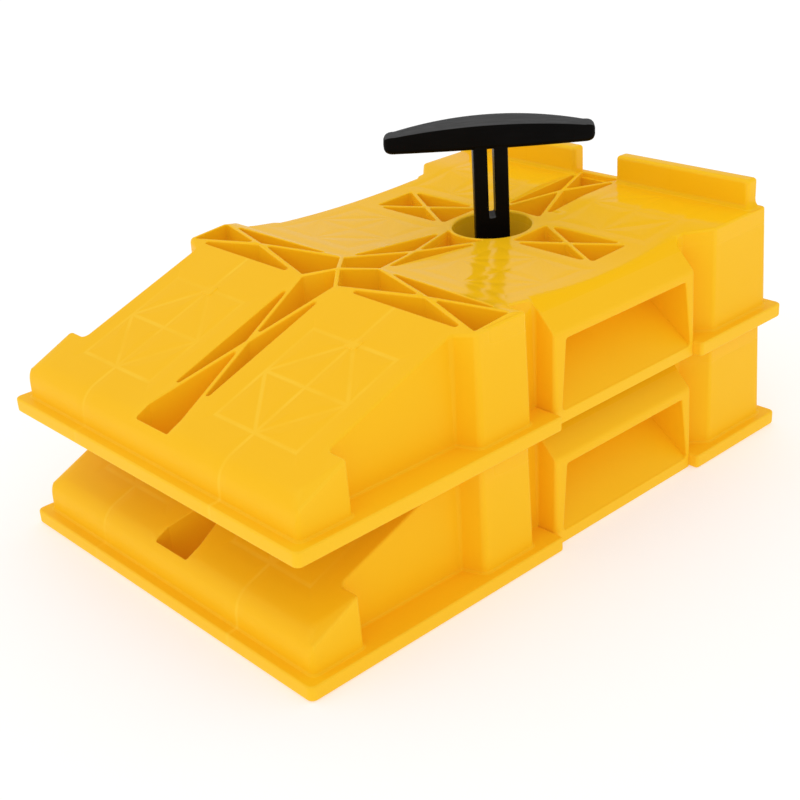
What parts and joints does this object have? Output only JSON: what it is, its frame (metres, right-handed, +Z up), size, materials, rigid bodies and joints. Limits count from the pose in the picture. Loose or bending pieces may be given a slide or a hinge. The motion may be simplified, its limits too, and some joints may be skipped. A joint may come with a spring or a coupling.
{
  "type": "ramp leveler",
  "caption": "Stack of drive-on cradle ramps with open X-ribbed tops, side hand-holds and tyre stops, carried by a T-handle through the centre bore.",
  "frame": {"origin": "on the ground under the middle of the lower ramp's flange", "axes": "+X from the low lip to the tyre stops, +Y across the ramps, +Z up"},
  "size_m": [0.456, 0.302, 0.2445],
  "materials": {
    "yellow_ramp_plastic": "satin moulded polypropylene, glossier on the tyre pads",
    "black_handle_plastic": "satin moulded nylon"
  },
  "bodies": {
    "lower_ramp": {"lower_ramp": "yellow_ramp_plastic"},
    "upper_ramp": {"upper_ramp": "yellow_ramp_plastic"},
    "handle": {"handle": "black_handle_plastic"}
  },
  "joints": [
    {"name": "upper_ramp_lift", "type": "slide", "parent": "lower_ramp", "child": "upper_ramp", "axis": [0, 0, 1], "range_m": [0, 0.15]},
    {"name": "handle_lift", "type": "slide", "parent": "upper_ramp", "child": "handle", "axis": [0, 0, 1], "range_m": [0, 0.21]}
  ]
}
